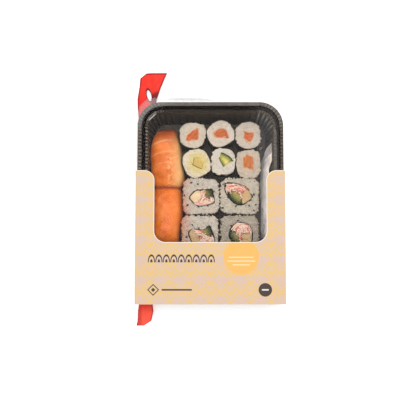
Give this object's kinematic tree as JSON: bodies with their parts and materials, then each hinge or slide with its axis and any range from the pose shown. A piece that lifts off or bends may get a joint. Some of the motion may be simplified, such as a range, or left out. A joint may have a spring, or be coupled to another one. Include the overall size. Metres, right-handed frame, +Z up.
{
  "type": "takeaway sushi tray",
  "caption": "Film-sealed black tray of nigiri, thin maki and inside-out rolls in a windowed card sleeve, with a sauce sachet inside and a chopstick packet along its side.",
  "frame": {"origin": "on the sleeve's underside, below the middle of the tray", "axes": "+Y along the tray towards the end that stands out of the sleeve, +Z up through the film lid, +X to the side with the sauce sachet"},
  "size_m": [0.1424, 0.2475, 0.0412],
  "materials": {
    "black_plastic": "semi-gloss formed sheet",
    "clear_film": "clear gloss film",
    "printed_board": "matt coated board",
    "red_wrapper": "glossy paper",
    "sachet_foil": "translucent plastic laminate",
    "rice": "moist cooked grain",
    "nori": "matt dried seaweed",
    "salmon": "moist raw fish",
    "omelette": "soft cooked egg",
    "cucumber": "moist cut vegetable",
    "avocado": "soft cut fruit",
    "surimi": "moist shredded fish stick"
  },
  "bodies": {
    "root": {"tray": "black_plastic", "film_lid": "clear_film", "sleeve": "printed_board", "chopsticks_wrapper": "red_wrapper", "sauce_sachet": "sachet_foil", "maki_1_nori": "nori", "maki_1_rice": "rice", "maki_1_salmon": "salmon", "maki_2_nori": "nori", "maki_2_rice": "rice", "maki_2_salmon": "salmon", "maki_3_nori": "nori", "maki_3_rice": "rice", "maki_3_salmon": "salmon", "maki_4_nori": "nori", "maki_4_rice": "rice", "maki_4_omelette": "omelette", "maki_5_nori": "nori", "maki_5_rice": "rice", "maki_5_cucumber": "cucumber", "maki_6_nori": "nori", "maki_6_rice": "rice", "maki_6_salmon": "salmon", "uramaki_1_rice": "rice", "uramaki_1_nori": "nori", "uramaki_1_cucumber": "cucumber", "uramaki_1_avocado": "avocado", "uramaki_1_surimi": "surimi", "uramaki_2_rice": "rice", "uramaki_2_nori": "nori", "uramaki_2_cucumber": "cucumber", "uramaki_2_avocado": "avocado", "uramaki_2_surimi": "surimi", "uramaki_3_rice": "rice", "uramaki_3_nori": "nori", "uramaki_3_cucumber": "cucumber", "uramaki_3_avocado": "avocado", "uramaki_3_surimi": "surimi", "uramaki_4_rice": "rice", "uramaki_4_nori": "nori", "uramaki_4_cucumber": "cucumber", "uramaki_4_avocado": "avocado", "uramaki_4_surimi": "surimi", "uramaki_5_rice": "rice", "uramaki_5_nori": "nori", "uramaki_5_cucumber": "cucumber", "uramaki_5_avocado": "avocado", "uramaki_5_surimi": "surimi", "uramaki_6_rice": "rice", "uramaki_6_nori": "nori", "uramaki_6_cucumber": "cucumber", "uramaki_6_avocado": "avocado", "uramaki_6_surimi": "surimi", "nigiri_1_salmon": "salmon", "nigiri_1_rice": "rice", "nigiri_2_salmon": "salmon", "nigiri_2_rice": "rice"}
  },
  "joints": []
}
